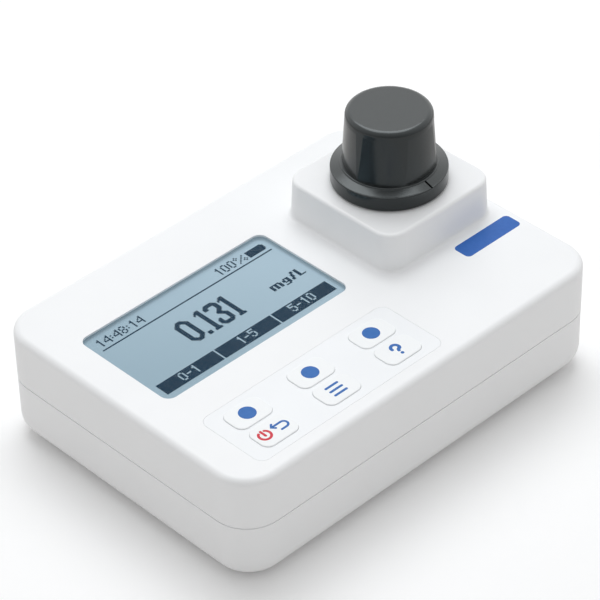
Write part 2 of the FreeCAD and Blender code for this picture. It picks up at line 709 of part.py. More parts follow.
def make_cover():
    """Round battery cover: flange, hollow plug with a ring groove, and a grip bar below."""
    low = FOOT_HEIGHT
    plug = BAY_RADIUS - COVER_GAP
    inner = plug - RING_SECTION - COVER_SHELL
    groove = plug - RING_SECTION
    groove_z = (COVER_STEP_Z + COVER_TOP_Z - RING_SECTION) / 2
    points = [
        (0, low), (COVER_FLANGE - COVER_EDGE, low), (COVER_FLANGE, low + COVER_EDGE), (COVER_FLANGE, COVER_STEP_Z),
        (plug, COVER_STEP_Z), (plug, groove_z), (groove, groove_z),
        (groove, groove_z + RING_SECTION), (plug, groove_z + RING_SECTION), (plug, COVER_TOP_Z),
        (inner, COVER_TOP_Z), (inner, COVER_STEP_Z + COVER_FLOOR), (0, COVER_STEP_Z + COVER_FLOOR),
    ]
    cover = turned(points, BAY_X, 0)
    grip = rod(BAY_X, 0, low - PAST, low + GRIP_DEPTH, GRIP_RADIUS)
    reach = GRIP_RADIUS + PAST
    bar = box(BAY_X - GRIP_BAR / 2, BAY_X + GRIP_BAR / 2, -reach, reach, low - PAST, COVER_STEP_Z)
    return cover.cut(grip.cut(bar))


def make_cover_ring():
    """Rubber ring in the cover's groove."""
    inner = BAY_RADIUS - COVER_GAP - RING_SECTION + RING_GAP
    z0 = (COVER_STEP_Z + COVER_TOP_Z - RING_SECTION) / 2 + RING_GAP / 2
    z1 = z0 + RING_SECTION - RING_GAP
    return rod(BAY_X, 0, z0, z1, BAY_RADIUS - RING_GAP).cut(rod(BAY_X, 0, z0, z1, inner))


def cell_places():
    """Middle line of each cell and the side its positive end points to."""
    return [((index - 1) * CELL_PITCH, 1 if index % 2 == 0 else -1) for index in range(3)]


def make_cell(y, way):
    """One cell: can with bevelled rims and the nub at its positive end."""
    half = CELL_LENGTH / 2
    radius = CELL_RADIUS
    rim = radius - CELL_RIM
    nub_z = half - CELL_NUB_LENGTH
    points = [
        (0, -half), (rim, -half), (radius, CELL_RIM - half), (radius, nub_z - CELL_RIM), (rim, nub_z),
        (CELL_NUB_RADIUS, nub_z), (CELL_NUB_RADIUS, half), (0, half),
    ]
    cell = turned(points, 0, 0)
    cell.rotate(Vector(0, 0, 0), Vector(0, 1, 0), 90 * way)
    cell.translate(Vector(BAY_X, y, CELL_Z))
    return cell


def make_tray():
    """Cradle for three cells, open below, trimmed to the round bay."""
    half_x = TRAY_LENGTH / 2
    half_y = CELL_PITCH * 1.5
    low = CELL_Z - TRAY_RIB
    tray = box(BAY_X - half_x, BAY_X + half_x, -half_y, half_y, low, TRAY_TOP)
    tray = tray.common(rod(BAY_X, 0, low, TRAY_TOP, BAY_RADIUS - 2 * FIT))
    inner = half_x - TRAY_END
    radius = CELL_RADIUS + CELL_GAP
    for y, way in cell_places():
        tray = tray.cut(rod_x(y, CELL_Z, BAY_X - inner, BAY_X + inner, radius))
        tray = tray.cut(box(BAY_X - inner, BAY_X + inner, y - radius, y + radius, low - PAST, CELL_Z))
    return tray


def contact_plate(y, side):
    """Contact plate on the tray's end wall, and where its inner face lies."""
    wall_x = BAY_X + side * (TRAY_LENGTH / 2 - TRAY_END)
    inner_x = wall_x - side * PLATE_THICK
    half = PLATE_WIDTH / 2
    low_x, high_x = sorted((wall_x, inner_x))
    return box(low_x, high_x, y - half, y + half, CELL_Z - half, CELL_Z + half), inner_x


def make_contact(y, side):
    """Plate with the raised button that meets the cell's nub."""
    plate, inner_x = contact_plate(y, side)
    low_x, high_x = sorted((inner_x, BAY_X + side * CELL_LENGTH / 2))
    return plate.fuse(rod_x(y, CELL_Z, low_x, high_x, BUTTON_RADIUS))


def make_spring(y, side):
    """Plate with the bowed leaf that presses on the cell's flat end."""
    plate, inner_x = contact_plate(y, side)
    tip_x = BAY_X + side * CELL_LENGTH / 2
    foot = PLATE_WIDTH / 2
    outer = Part.Arc(Vector(inner_x, 0, CELL_Z - foot), Vector(tip_x, 0, CELL_Z), Vector(inner_x, 0, CELL_Z + foot))
    back_x = tip_x + side * LEAF_THICK
    reach = foot - LEAF_THICK
    inner = Part.Arc(Vector(inner_x, 0, CELL_Z - reach), Vector(back_x, 0, CELL_Z), Vector(inner_x, 0, CELL_Z + reach))
    low_foot = Part.LineSegment(Vector(inner_x, 0, CELL_Z - foot), Vector(inner_x, 0, CELL_Z - reach))
    high_foot = Part.LineSegment(Vector(inner_x, 0, CELL_Z + reach), Vector(inner_x, 0, CELL_Z + foot))
    edges = [low_foot.toShape(), inner.toShape(), high_foot.toShape(), outer.toShape()]
    face = Part.Face(Part.Wire(Part.__sortEdges__(edges)))
    leaf = face.extrude(Vector(0, LEAF_WIDTH, 0))
    leaf.translate(Vector(0, y - LEAF_WIDTH / 2, 0))
    return plate.fuse(leaf)


def make_well():
    """Black tube that guides the cuvette, with a window on each side for the beam."""
    top = TURRET_CEILING
    well = rod(TURRET_X, TURRET_Y, CASE_FLOOR, top, WELL_OUTER)
    well = well.fuse(rod(TURRET_X, TURRET_Y, top - WELL_FLANGE_THICK, top, WELL_FLANGE_RADIUS))
    well = well.cut(rod(TURRET_X, TURRET_Y, CUVETTE_FOOT_Z, top + PAST, WELL_RADIUS))
    reach = WELL_OUTER + PAST
    return well.cut(rod_y(TURRET_X, BEAM_Z, TURRET_Y - reach, TURRET_Y + reach, BEAM_RADIUS))


def make_light_ring():
    """Soft ring round the mouth of the well that the cap's skirt sits on."""
    ring = rod(TURRET_X, TURRET_Y, RING_BOTTOM, RING_TOP, LIGHT_RING_RADIUS)
    return ring.cut(rod(TURRET_X, TURRET_Y, RING_BOTTOM, RING_TOP, WELL_RADIUS + FIT))


def block(y0, y1):
    """Plain block of the light path, standing on the case's floor."""
    half = BLOCK_WIDTH / 2
    return box(TURRET_X - half, TURRET_X + half, y0, y1, CASE_FLOOR, BLOCK_TOP)


def splitter_y():
    """Place of the beam splitter along the light path."""
    return EMITTER_START + SPLITTER_FROM_BOARD


def lens_y():
    """Place of the lens along the light path."""
    return EMITTER_START + FOCUS_FROM_BOARD


def make_emitter_block():
    """Block that lines up the lamp, the lens and the beam splitter with the well."""
    body = block(EMITTER_START, EMITTER_END)
    body = body.cut(rod_y(TURRET_X, BEAM_Z, EMITTER_START - PAST, EMITTER_END + PAST, BEAM_RADIUS))
    body = body.cut(lens_slot())
    body = body.cut(splitter_slab(SLOT_GAP, BLOCK_TOP + PAST))
    outlet = rod_x(splitter_y(), BEAM_Z, TURRET_X, TURRET_X + BLOCK_WIDTH, BEAM_RADIUS)
    return body.cut(outlet)


def lens_slot():
    """Slot, open at the top, that the round lens is dropped into."""
    half = FOCUS_EDGE / 2 + FOCUS_BULGE + SLOT_GAP
    reach = FOCUS_RADIUS + SLOT_GAP
    shaft = box(TURRET_X - reach, TURRET_X + reach, lens_y() - half, lens_y() + half, BEAM_Z, BLOCK_TOP + PAST)
    return shaft.fuse(rod_y(TURRET_X, BEAM_Z, lens_y() - half, lens_y() + half, reach))


def splitter_slab(grow, top):
    """Upright plate at 45 degrees across the beam."""
    half = SPLITTER_SIDE / 2 + grow
    thick = SPLITTER_THICK / 2 + grow
    plate = box(-half, half, -thick, thick, BEAM_Z - half, top)
    plate.rotate(Vector(0, 0, 0), Vector(0, 0, 1), 45)
    plate.translate(Vector(TURRET_X, splitter_y(), 0))
    return plate


def make_focus_lens():
    """Round lens with two bulging faces, turned about the beam."""
    edge = FOCUS_EDGE / 2
    reach = edge + FOCUS_BULGE
    ball = (FOCUS_RADIUS ** 2 + FOCUS_BULGE ** 2) / (2 * FOCUS_BULGE)
    half_turn = math.asin(FOCUS_RADIUS / ball) / 2
    middle_r = ball * math.sin(half_turn)
    middle_z = reach - ball + ball * math.cos(half_turn)
    points = [
        (0, -reach), (FOCUS_RADIUS, -edge, (middle_r, -middle_z)), (FOCUS_RADIUS, edge),
        (0, reach, (middle_r, middle_z)),
    ]
    lens = turned(points, 0, 0)
    lens.rotate(Vector(0, 0, 0), Vector(1, 0, 0), -90)
    lens.translate(Vector(TURRET_X, lens_y(), BEAM_Z))
    return lens


def make_lamp():
    """Lamp with a domed end, standing on the lamp board."""
    straight = LAMP_LENGTH - LAMP_RADIUS
    dome = arc_end((LAMP_RADIUS, straight), (0, LAMP_LENGTH), False)
    lamp = turned([(0, 0), (LAMP_RADIUS, 0), (LAMP_RADIUS, straight), dome], 0, 0)
    lamp.rotate(Vector(0, 0, 0), Vector(1, 0, 0), -90)
    lamp.translate(Vector(TURRET_X, EMITTER_START, BEAM_Z))
    return lamp


def make_detector_block():
    """Block that holds the colour filter and the sample detector behind the well."""
    body = block(DETECTOR_START, DETECTOR_END)
    body = body.cut(rod_y(TURRET_X, BEAM_Z, DETECTOR_START - PAST, DETECTOR_END + PAST, BEAM_RADIUS))
    y0 = DETECTOR_START + FILTER_FROM_WELL - SLOT_GAP
    y1 = DETECTOR_START + FILTER_FROM_WELL + FILTER_THICK + SLOT_GAP
    reach = FILTER_RADIUS + SLOT_GAP
    body = body.cut(box(TURRET_X - reach, TURRET_X + reach, y0, y1, BEAM_Z, BLOCK_TOP + PAST))
    body = body.cut(rod_y(TURRET_X, BEAM_Z, y0, y1, reach))
    seat = DETECTOR_END - DIODE_LENGTH
    return body.cut(rod_y(TURRET_X, BEAM_Z, seat, DETECTOR_END + PAST, DIODE_RADIUS + SLOT_GAP))


def make_filter():
    """Round narrow-band filter."""
    y0 = DETECTOR_START + FILTER_FROM_WELL
    return rod_y(TURRET_X, BEAM_Z, y0, y0 + FILTER_THICK, FILTER_RADIUS)


def make_block_lid(y0, y1):
    """Flat lid over one block of the light path."""
    half = BLOCK_WIDTH / 2
    return box(TURRET_X - half, TURRET_X + half, y0, y1, BLOCK_TOP, BLOCK_TOP + LID_THICK)


def make_cuvette():
    """Round glass cuvette with an even wall, a shoulder and a neck."""
    r = CUVETTE_RADIUS
    edge = CUVETTE_EDGE
    foot = CUVETTE_FOOT_Z
    inner = r - CUVETTE_WALL
    floor_z = foot + CUVETTE_FLOOR
    mouth_z = NECK_FOOT_Z - CUVETTE_WALL / 2
    points = [
        (0, foot), (r - edge, foot), arc_end((r - edge, foot), (r, foot + edge)), (r, SHOULDER_Z),
        arc_end((r, SHOULDER_Z), (NECK_RADIUS, NECK_FOOT_Z), False), (NECK_RADIUS, NECK_TOP_Z),
        (MOUTH_RADIUS, NECK_TOP_Z), (MOUTH_RADIUS, mouth_z),
        arc_end((MOUTH_RADIUS, mouth_z), (inner, SHOULDER_Z - CUVETTE_WALL)), (inner, floor_z + edge),
        (inner - edge, floor_z), (0, floor_z),
    ]
    return turned(points, TURRET_X, TURRET_Y)


def make_stopper():
    """Hollow plug with a flange that closes the cuvette's mouth."""
    plug = MOUTH_RADIUS - STOPPER_GAP
    low = NECK_TOP_Z - STOPPER_DEPTH
    lead = STOPPER_WALL / 2
    flange = NECK_RADIUS - STOPPER_GAP
    hollow = plug - STOPPER_WALL
    points = [
        (0, low), (plug - lead, low), (plug, low + lead), (plug, NECK_TOP_Z), (flange, NECK_TOP_Z),
        (flange, STOPPER_TOP), (hollow, STOPPER_TOP), (hollow, low + STOPPER_WALL), (0, low + STOPPER_WALL),
    ]
    return turned(points, TURRET_X, TURRET_Y)


def make_liner():
    """Flat liner between the stopper and the cap's crown."""
    return rod(TURRET_X, TURRET_Y, STOPPER_TOP, LINER_TOP, NECK_RADIUS - STOPPER_GAP)


def cap_heights():
    """Top of the skirt's band and foot of the barrel."""
    band = RING_TOP + CAP_SKIRT_BAND
    return band, band + CAP_CONE_RISE


def make_cap():
    """Black cap: wide skirt, short cone, tapered barrel with flutes, and an index notch."""
    band, barrel = cap_heights()
    bore = NECK_RADIUS + CAP_BORE_GAP
    wide = CUVETTE_RADIUS + CAP_BORE_GAP
    outer = CAP_SKIRT_RADIUS
    soft = CAP_SKIRT_EDGE
    skirt = outer - CAP_SKIRT_WALL
    edge = CAP_TOP_Z - CAP_EDGE
    points = [
        (skirt, RING_TOP), (outer - soft, RING_TOP), arc_end((outer - soft, RING_TOP), (outer, RING_TOP + soft)),
        (outer, band - soft), arc_end((outer, band - soft), (outer - soft, band), False),
        (CAP_BARREL_FOOT + soft, barrel),
        arc_end((CAP_BARREL_FOOT + soft, barrel), (CAP_BARREL_FOOT, barrel + soft), False),
        (CAP_BARREL_TOP, edge), arc_end((CAP_BARREL_TOP, edge), (CAP_BARREL_TOP - CAP_EDGE, CAP_TOP_Z), False),
        (0, CAP_TOP_Z), (0, LINER_TOP), (bore, LINER_TOP), (bore, NECK_FOOT_Z + CAP_BORE_GAP),
        (wide, NECK_FOOT_Z + CAP_BORE_GAP), (wide, band - CAP_SKIRT_WALL), (skirt, band - 2 * CAP_SKIRT_WALL),
    ]
    cap = turned(points, TURRET_X, TURRET_Y)
    for index in range(CAP_FLUTES):
        cap = cap.cut(cap_flute(index * 360 / CAP_FLUTES + CAP_FLUTE_TURN))
    return cap.cut(cap_notch())


def cap_flute(angle):
    """What one shallow flute takes off the barrel, bowed less than the barrel itself."""
    band, barrel = cap_heights()
    high = CAP_TOP_Z - CAP_FLUTE_DROP
    low = barrel + CAP_SKIRT_EDGE
    lean = math.degrees(math.atan((CAP_BARREL_FOOT - CAP_BARREL_TOP) / (CAP_TOP_Z - barrel)))
    face = CAP_BARREL_FOOT - CAP_FLUTE_DEPTH
    side = CAP_BARREL_FOOT * math.tan(math.radians(180 / CAP_FLUTES))
    taken = box(-side, side, -CAP_SKIRT_RADIUS, -face / 2, low, high)
    bow = rod(0, CAP_FLUTE_BOW - face, low - CAP_EDGE, high + CAP_EDGE, CAP_FLUTE_BOW)
    bow.rotate(Vector(0, -face, barrel), Vector(1, 0, 0), -lean)
    taken = taken.cut(bow)
    taken.rotate(Vector(0, 0, 0), Vector(0, 0, 1), angle)
    taken.translate(Vector(TURRET_X, TURRET_Y, 0))
    return taken


def cap_notch():
    """Engraved index line down the skirt's cone, at the front."""
    band, barrel = cap_heights()
    half = CAP_NOTCH_WIDTH / 2
    y1 = TURRET_Y - CAP_BARREL_FOOT - CAP_SKIRT_EDGE
    return box(TURRET_X - half, TURRET_X + half, TURRET_Y - CAP_SKIRT_RADIUS - PAST, y1,
               band - CAP_NOTCH_DEPTH, barrel + PAST)


def save_case():
    """The shells, their seal, the screws and the feet."""
    save("top_shell", make_top_shell())
    save("bottom_shell", make_bottom_shell())
    save("case_seal", make_case_seal())
    for sx, sy, name in CORNERS:
        save("case_screw_" + name, make_case_screw(sx, sy))
        save("foot_" + name, make_foot(sx, sy))


def save_display():
    """Window lens, display, backlight, frame and contact strip."""
    save("display_lens", make_lens())
    save("lcd_glass", lcd_slab(0, LCD_BOTTOM, LCD_TOP))
    save("lcd_backlight", make_backlight())
    save("lcd_frame", make_lcd_frame())
    save("lcd_contact_strip", make_contact_strip())


def save_keypad():
    """Panel, keys, dome sheet and the keypad's board."""
    save("keypad_panel", make_panel())
    for name, column, row in KEYS:
        save(name, make_key(column, row))
    save("dome_sheet", make_dome_sheet())
    save("keypad_board", keypad_plate(KEY_BOARD_MARGIN, KEY_BOARD_TOP - BOARD_THICK, KEY_BOARD_TOP))


def save_boards():
    """Main board with its chip, sounder and plug."""
    save("main_board", make_main_board())
    save("processor_chip", make_chip())
    save("sounder", make_sounder())
    save("keypad_plug", make_board_plug())


def save_battery():
    """Tray, cells, contacts, cover and its ring."""
    save("battery_tray", make_tray())
    for index, (y, way) in enumerate(cell_places()):
        number = str(index + 1)
        save("battery_cell_" + number, make_cell(y, way))
        save("battery_contact_" + number, make_contact(y, way))
        save("battery_spring_" + number, make_spring(y, -way))
    save("battery_cover", make_cover())
    save("cover_ring", make_cover_ring())


def save_optics():
    """Well, light path, detectors and their boards."""
    side = TURRET_X + BLOCK_WIDTH / 2
    half = BLOCK_WIDTH / 2 + LIGHT_BOARD_MARGIN
    save("cuvette_well", make_well())
    save("light_ring", make_light_ring())
    save("emitter_block", make_emitter_block())
    save("emitter_lid", make_block_lid(EMITTER_START, EMITTER_END))
    save("lamp", make_lamp())
    save("focus_lens", make_focus_lens())
    save("beam_splitter", splitter_slab(0, BEAM_Z + SPLITTER_SIDE / 2))
    save("reference_detector", rod_x(splitter_y(), BEAM_Z, side, side + DIODE_LENGTH, DIODE_RADIUS))
    save("detector_block", make_detector_block())
    save("detector_lid", make_block_lid(DETECTOR_START, DETECTOR_END))
    save("colour_filter", make_filter())
    save("sample_detector", rod_y(TURRET_X, BEAM_Z, DETECTOR_END - DIODE_LENGTH, DETECTOR_END, DIODE_RADIUS))
    save("lamp_board", box(TURRET_X - half, TURRET_X + half, EMITTER_START - BOARD_THICK, EMITTER_START,
                           CASE_FLOOR, BLOCK_TOP))
    save("detector_board", box(TURRET_X - half, TURRET_X + half, DETECTOR_END, DETECTOR_END + BOARD_THICK,
                               CASE_FLOOR, BLOCK_TOP))


def save_cuvette():
    """Cuvette, stopper, liner and cap."""
    save("cuvette", make_cuvette())
    save("cuvette_stopper", make_stopper())
    save("cap_liner", make_liner())
    save("cuvette_cap", make_cap())


save_case()
save_display()
save_keypad()
save_boards()
save_battery()
save_optics()
save_cuvette()
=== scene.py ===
"""Looks of the portable photometer, in metres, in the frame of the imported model.

Lengths are written in millimetres and turned into metres by MM.
"""
import bmesh
import bpy
import json
import math
from mathutils import Matrix, Vector


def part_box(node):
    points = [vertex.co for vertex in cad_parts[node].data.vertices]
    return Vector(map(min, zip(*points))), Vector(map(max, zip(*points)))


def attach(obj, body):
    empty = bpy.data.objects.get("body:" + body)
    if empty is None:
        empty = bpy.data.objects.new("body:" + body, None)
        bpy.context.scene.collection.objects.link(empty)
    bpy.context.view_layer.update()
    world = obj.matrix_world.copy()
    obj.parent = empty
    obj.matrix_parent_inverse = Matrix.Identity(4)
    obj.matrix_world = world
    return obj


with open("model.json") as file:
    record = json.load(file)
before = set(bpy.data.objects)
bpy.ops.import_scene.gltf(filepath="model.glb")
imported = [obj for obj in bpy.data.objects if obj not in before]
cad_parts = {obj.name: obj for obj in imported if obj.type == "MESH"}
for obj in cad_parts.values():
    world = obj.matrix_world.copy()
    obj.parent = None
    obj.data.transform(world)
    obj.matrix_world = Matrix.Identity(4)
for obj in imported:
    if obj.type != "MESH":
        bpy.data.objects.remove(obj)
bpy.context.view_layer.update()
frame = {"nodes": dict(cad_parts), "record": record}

MM = 0.001

# Camera: the direction it looks in, how far it stands and its lens
FOCAL_LENGTH = 175.08
SENSOR_WIDTH = 36.0
CAMERA_YAW = 43.58
CAMERA_PITCH = 38.40
CAMERA_ROLL = -1.35
CAMERA_DISTANCE = 864.0
CAMERA_NEAR = 10.0
CAMERA_TARGET = (12.355, 13.631, 20.0)

# Light: the share that the lamp gives of a level at which white reads as white, and the room's
LAMP_SHARE = 0.495
ROOM_SHARE = 0.555
LAMP_SIDE = 900.0
LAMP_COLOUR = (0.98, 1.0, 1.02)
LAMP_PLACE = (300.0, 380.0, 1150.0)

# Floor: its side, and how white it is to the camera, where 1 is plain white
FLOOR_SIDE = 4000.0
FLOOR_LEVEL = 1.06

# Reflections: the way to the room's bright side, and how bright the room is in them, in front
# of the object and behind it, between two places along that way
BACK_SIDE = (0.598, 0.628, 0.498)
FRONT_LEVEL = 0.4
BACK_LEVEL = 1.8
FRONT_END = -0.9
BACK_END = 1.0

# Dot display: dots across and down, their pitch and side, and the field's place on the glass
DOT_COLUMNS = 128
DOT_ROWS = 64
DOT_PITCH = 0.5156
DOT_SIDE = 0.5
DOTS_FROM_LEFT = 4.76
DOTS_FROM_FRONT = 5.26
DOTS_OVER_GLASS = 0.03
HEADER_TOP = 2
HEADER_LINE_ROW = 11
CLOCK_COLUMN = 1
PERCENT_COLUMN = 90
BATTERY_COLUMN = 114
BATTERY_LENGTH = 13
BATTERY_HEIGHT = 6
READING_COLUMN = 40
READING_ROW = 22
UNIT_COLUMN = 102
UNIT_ROW = 34
SOFTKEY_ROWS = 10
CLOCK = "14:48:14"
PERCENT = "100%"
READING = "0.131"
UNIT = "mg/L"
SOFTKEYS = ("0-1", "1-5", "5-10")

# Printing on the keys, from the middle of each key and a small shift of the whole print
PRINT_THICK = 0.02
PRINT_SHIFT = (-0.11, 0.16)
KEY_DOT_RADIUS = 2.6
STROKE = 0.8
POWER_OFFSET = -3.1
POWER_RADIUS = 1.8
POWER_OPENING = 70.0
POWER_BAR = (1.9, -0.3)
ARROW_LEFT = -0.3
ARROW_RIGHT = 4.95
ARROW_TOP = 1.0
ARROW_TURN = 1.25
ARROW_HEAD = 0.95
ARROW_TAIL = 1.9
ARROW_STROKE = 0.72
MENU_LENGTH = 4.3
MENU_PITCH = 1.9
QUERY_RADIUS = 1.3
QUERY_RISE = 0.75
QUERY_ARC = (185.0, -35.0)
QUERY_STEM = ((0.15, -0.35), (0.0, -0.75))
QUERY_STROKE = 1.0
QUERY_POINT = -2.1
QUERY_POINT_RADIUS = 0.55

# How many steps the rounds of the printing are drawn in
END_STEPS = 8
TURN_STEPS = 16
HOOK_STEPS = 24
RING_STEPS = 40
DOT_STEPS = 60
POINT_STEPS = 18

# Blue field on the case
LABEL_SIZE = (23.0, 6.4)
LABEL_CENTRE_FROM_TURRET = (11.4, -29.2)
LABEL_CORNER = 1.5

# Fill mark on the cuvette
MARK_FROM_TOP = 16.5
MARK_HEIGHT = 0.5
MARK_STEPS = 96

# Steps of a written colour, and the usual curve from them to light
COLOUR_STEPS = 255
CURVE_KNEE = 0.04045
CURVE_FOOT = 12.92
CURVE_OFFSET = 0.055
CURVE_POWER = 2.4

# Middle range of a noise, for numbers and for colours
NOISE_RANGE = (0.3, 0.7)
RAMP_RANGE = (0.35, 0.65)

# Mirror of a clear sheet: how fast and how far it grows as the sheet is seen flatter
MIRROR_POWER = 5.0
MIRROR_GROWTH = 0.35

BEVEL_SAMPLES = 8

# Dots of the small figures, as in any plain 7-row display font, where the g hangs a row lower
SMALL_FIGURES = {
    "0": (".##.", "#..#", "#..#", "#..#", "#..#", "#..#", ".##."),
    "1": ("..#.", ".##.", "..#.", "..#.", "..#.", "..#.", "..#."),
    "4": ("...#", "..##", ".#.#", "#..#", "####", "...#", "...#"),
    "5": ("####", "#...", "###.", "...#", "...#", "#..#", ".##."),
    "8": (".##.", "#..#", "#..#", ".##.", "#..#", "#..#", ".##."),
    ":": (".", ".", "#", ".", "#", ".", "."),
    "-": ("...", "...", "...", "###", "...", "...", "..."),
    "%": (".#......", "#.#...#.", ".#...#..", "....#...", "...#..#.", "..#..#.#", ".#....#."),
    "m": (".......", ".......", "######.", "#..#..#", "#..#..#", "#..#..#", "#..#..#"),
    "g": ("....", "....", ".###", "#..#", "#..#", ".###", "...#", "###."),
    "/": ("..#", "..#", ".#.", ".#.", ".#.", "#..", "#.."),
    "L": ("#...", "#...", "#...", "#...", "#...", "#...", "####"),
}

# Dots of the reading's figures, drawn the same way: how often a row comes, and the row
LARGE_FIGURES = {
    "0": ((1, "...####..."), (1, "..######.."), (1, ".########."), (1, "####..####"), (13, "###....###"),
          (1, "####..####"), (1, ".########."), (1, "..######.."), (1, "...####...")),
    ".": ((18, "..."), (3, "###")),
    "1": ((1, "..###."), (1, ".####."), (1, "#####."), (1, "#.###."), (15, "..###."), (2, ".#####")),
    "3": ((1, "..######.."), (1, ".########."), (1, "##########"), (2, "###....###"), (2, ".......###"),
          (1, "......####"), (1, ".....####."), (2, "....####.."), (1, ".....####."), (1, "......####"),
          (1, ".......###"), (1, ".##....###"), (3, "###....###"), (1, "##########"), (1, ".########."),
          (1, "..######..")),
}


def mesh_piece(name, vertices, faces, material, body):
    """New piece from corners and faces, on its body and with its finish's slot."""
    mesh = bpy.data.meshes.new(name)
    mesh.from_pydata(vertices, [], faces)
    mesh.validate()
    mesh.materials.append(material)
    piece = bpy.data.objects.new(name, mesh)
    bpy.context.scene.collection.objects.link(piece)
    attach(piece, body)


# Materials

class Finish:
    """Node material with one main shader and short helpers."""

    def __init__(self, name, rgb, roughness, metallic=0.0):
        self.material = bpy.data.materials.new(name)
        self.material.use_nodes = True
        self.nodes = self.material.node_tree.nodes
        self.links = self.material.node_tree.links
        self.shader = self.nodes["Principled BSDF"]
        self.rgb = rgb
        self.set("Base Color", (*linear(rgb), 1.0))
        self.set("Roughness", roughness)
        self.set("Metallic", metallic)
        self.place = self.nodes.new("ShaderNodeTexCoord").outputs["Object"]
        self.edge = None
        self.relief = None

    def set(self, socket, value):
        """Sets one of the shader's plain sockets."""
        self.shader.inputs[socket].default_value = value

    def join(self, output, socket):
        """Links an output to one of the shader's sockets."""
        self.links.new(output, self.shader.inputs[socket])

    def noise(self, grain, detail=2.0, stretch=(1.0, 1.0, 1.0)):
        """Noise whose grain is a size in millimetres."""
        mapping = self.nodes.new("ShaderNodeMapping")
        mapping.inputs["Scale"].default_value = stretch
        self.links.new(self.place, mapping.inputs["Vector"])
        noise = self.nodes.new("ShaderNodeTexNoise")
        noise.inputs["Scale"].default_value = 1 / (grain * MM)
        noise.inputs["Detail"].default_value = detail
        self.links.new(mapping.outputs["Vector"], noise.inputs["Vector"])
        return noise.outputs["Fac"]

    def spread(self, value, low, high):
        """Maps a noise's middle range to a range of numbers."""
        span = self.nodes.new("ShaderNodeMapRange")
        span.inputs["From Min"].default_value = NOISE_RANGE[0]
        span.inputs["From Max"].default_value = NOISE_RANGE[1]
        span.inputs["To Min"].default_value = low
        span.inputs["To Max"].default_value = high
        self.links.new(value, span.inputs["Value"])
        return span.outputs["Result"]

    def ramp(self, value, low_rgb, high_rgb, ends=RAMP_RANGE):
        """Colour that runs from one to another between two ends of a value."""
        ramp = self.nodes.new("ShaderNodeValToRGB")
        first, last = ramp.color_ramp.elements
        first.position, last.position = ends
        first.color = (*linear(low_rgb), 1.0)
        last.color = (*linear(high_rgb), 1.0)
        self.links.new(value, ramp.inputs["Fac"])
        return ramp.outputs["Color"]

    def vary_colour(self, grain, change):
        """Slight unevenness of the colour, by a number of steps of 255 either way."""
        low = tuple(step - change for step in self.rgb)
        high = tuple(step + change for step in self.rgb)
        self.join(self.ramp(self.noise(grain, detail=3.0), low, high), "Base Color")
        return self

    def vary_roughness(self, grain, low, high):
        """Uneven gloss."""
        self.join(self.spread(self.noise(grain, detail=3.0), low, high), "Roughness")
        return self

    def soften(self, radius):
        """Rounds sharp edges in the shading, by a radius in millimetres."""
        bevel = self.nodes.new("ShaderNodeBevel")
        bevel.samples = BEVEL_SAMPLES
        bevel.inputs["Radius"].default_value = radius * MM
        self.edge = bevel.outputs["Normal"]
        return self

    def bump(self, value, depth, strength=1.0):
        """Relief of a depth in millimetres."""
        bump = self.nodes.new("ShaderNodeBump")
        if self.edge:
            self.links.new(self.edge, bump.inputs["Normal"])
        bump.inputs["Strength"].default_value = strength
        bump.inputs["Distance"].default_value = depth * MM
        self.links.new(value, bump.inputs["Height"])
        self.relief = bump.outputs["Normal"]
        self.join(self.relief, "Normal")
        return self

    def grain(self, size, depth, strength=1.0, stretch=(1.0, 1.0, 1.0)):
        """Fine relief like that of a moulded or brushed surface."""
        return self.bump(self.noise(size, stretch=stretch), depth, strength)


def linear(rgb):
    """Colour written in steps of 255, as the shader's linear colour."""
    result = []
    for step in rgb:
        share = min(max(step / COLOUR_STEPS, 0.0), 1.0)
        if share <= CURVE_KNEE:
            result.append(share / CURVE_FOOT)
        else:
            result.append(((share + CURVE_OFFSET) / (1 + CURVE_OFFSET)) ** CURVE_POWER)
    return tuple(result)


def see_through(name, rgb, mirror, haze):
    """Clear sheet: lets light straight through, and mirrors more the flatter it is seen."""
    finish = Finish(name, rgb, roughness=haze)
    finish.grain(size=18.0, depth=0.01, strength=0.3)
    clear = finish.nodes.new("ShaderNodeBsdfTransparent")
    clear.inputs["Color"].default_value = (*linear(rgb), 1.0)
    gloss = finish.nodes.new("ShaderNodeBsdfGlossy")
    gloss.inputs["Roughness"].default_value = haze
    finish.links.new(finish.relief, gloss.inputs["Normal"])
    facing = finish.nodes.new("ShaderNodeLayerWeight")
    flat = finish.nodes.new("ShaderNodeMath")
    flat.operation = "POWER"
    flat.inputs[1].default_value = MIRROR_POWER
    finish.links.new(facing.outputs["Facing"], flat.inputs[0])
    share = finish.nodes.new("ShaderNodeMath")
    share.operation = "MULTIPLY_ADD"
    share.inputs[1].default_value = MIRROR_GROWTH
    share.inputs[2].default_value = mirror
    finish.links.new(flat.outputs["Value"], share.inputs[0])
    mix = finish.nodes.new("ShaderNodeMixShader")
    finish.links.new(share.outputs["Value"], mix.inputs["Fac"])
    finish.links.new(clear.outputs["BSDF"], mix.inputs[1])
    finish.links.new(gloss.outputs["BSDF"], mix.inputs[2])
    finish.links.new(mix.outputs["Shader"], finish.nodes["Material Output"].inputs["Surface"])
    return finish.material


def case_white():
    """Moulded case plastic with a very fine spark-eroded grain."""
    finish = Finish("case_white", (242, 243, 244), roughness=0.42)
    finish.vary_colour(grain=35.0, change=1.0)
    finish.vary_roughness(grain=6.0, low=0.38, high=0.46)
    return finish.grain(size=0.35, depth=0.012, strength=0.5).material


def panel_white():
    """Smooth printed film of the keypad panel."""
    finish = Finish("panel_white", (241, 243, 245), roughness=0.36)
    finish.vary_colour(grain=20.0, change=1.0)
    return finish.grain(size=0.8, depth=0.006, strength=0.4).material


